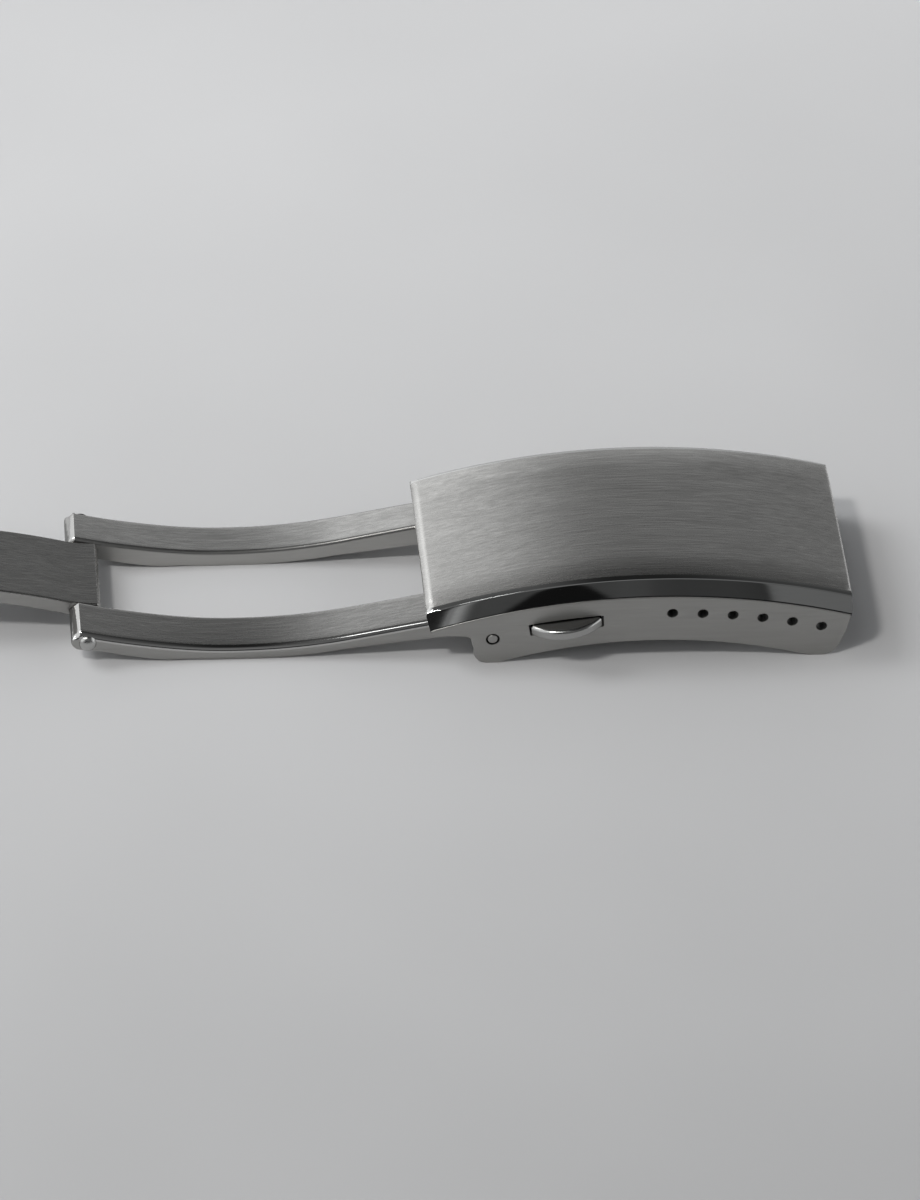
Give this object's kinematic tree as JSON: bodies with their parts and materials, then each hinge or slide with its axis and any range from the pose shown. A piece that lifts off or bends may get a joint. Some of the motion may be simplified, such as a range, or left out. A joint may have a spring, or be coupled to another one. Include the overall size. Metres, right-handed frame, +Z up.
{
  "type": "watch bracelet clasp",
  "caption": "Open steel deployant clasp for a watch bracelet: arched cover with side push buttons, two-armed outer blade and a nesting inner blade with a catch stud.",
  "frame": {"origin": "middle of the whole clasp's length and width, on the surface it lies on, with the clasp open and flat", "axes": "+X runs along the bracelet from the inner blade's end to the cover, +Y across the clasp away from the camera's side, +Z up, through the arched top face of the cover"},
  "size_m": [0.1056, 0.023, 0.0086],
  "materials": {
    "cover_steel": "brushed along the length, with polished bevels",
    "blade_steel": "fine brushed along the length",
    "polished_steel": "polished",
    "satin_steel": "satin",
    "spring_steel": "drawn wire"
  },
  "bodies": {
    "cover": {"cover": "cover_steel", "cassette_body": "satin_steel", "cassette_plate": "satin_steel", "cassette_screws": "satin_steel", "button_stop_pins": "satin_steel", "cover_hinge_pin": "polished_steel", "button_springs_near": "spring_steel", "button_springs_far": "spring_steel"},
    "button_near": {"button_near": "polished_steel", "latch_near": "satin_steel", "latch_rivet_near": "satin_steel"},
    "button_far": {"button_far": "polished_steel", "latch_far": "satin_steel", "latch_rivet_far": "satin_steel"},
    "outer_blade": {"outer_blade": "blade_steel", "fold_hinge_pin": "polished_steel"},
    "inner_blade": {"inner_blade": "blade_steel", "catch_stud": "polished_steel"}
  },
  "joints": [
    {"name": "near_button_press", "type": "slide", "parent": "cover", "child": "button_near", "axis": [0, 1, 0], "range_m": [0, 0.0008], "stiffness_N_per_m": 600, "springref_m": -0.001, "deforming": ["button_springs_near"]},
    {"name": "far_button_press", "type": "slide", "parent": "cover", "child": "button_far", "axis": [0, -1, 0], "range_m": [0, 0.0008], "stiffness_N_per_m": 600, "springref_m": -0.001, "deforming": ["button_springs_far"]},
    {"name": "cover_hinge", "type": "hinge", "parent": "cover", "child": "outer_blade", "pos_m": [0.022, 0, 0.00255], "axis": [0, -1, 0], "range_deg": [0, 174]},
    {"name": "fold_hinge", "type": "hinge", "parent": "outer_blade", "child": "inner_blade", "pos_m": [-0.01255, 0, 0.00212], "axis": [0, 1, 0], "range_deg": [0, 175.21]}
  ],
  "couplings": [
    {"joint": "fold_hinge", "follows": "cover_hinge", "ratio": 1.0069}
  ]
}
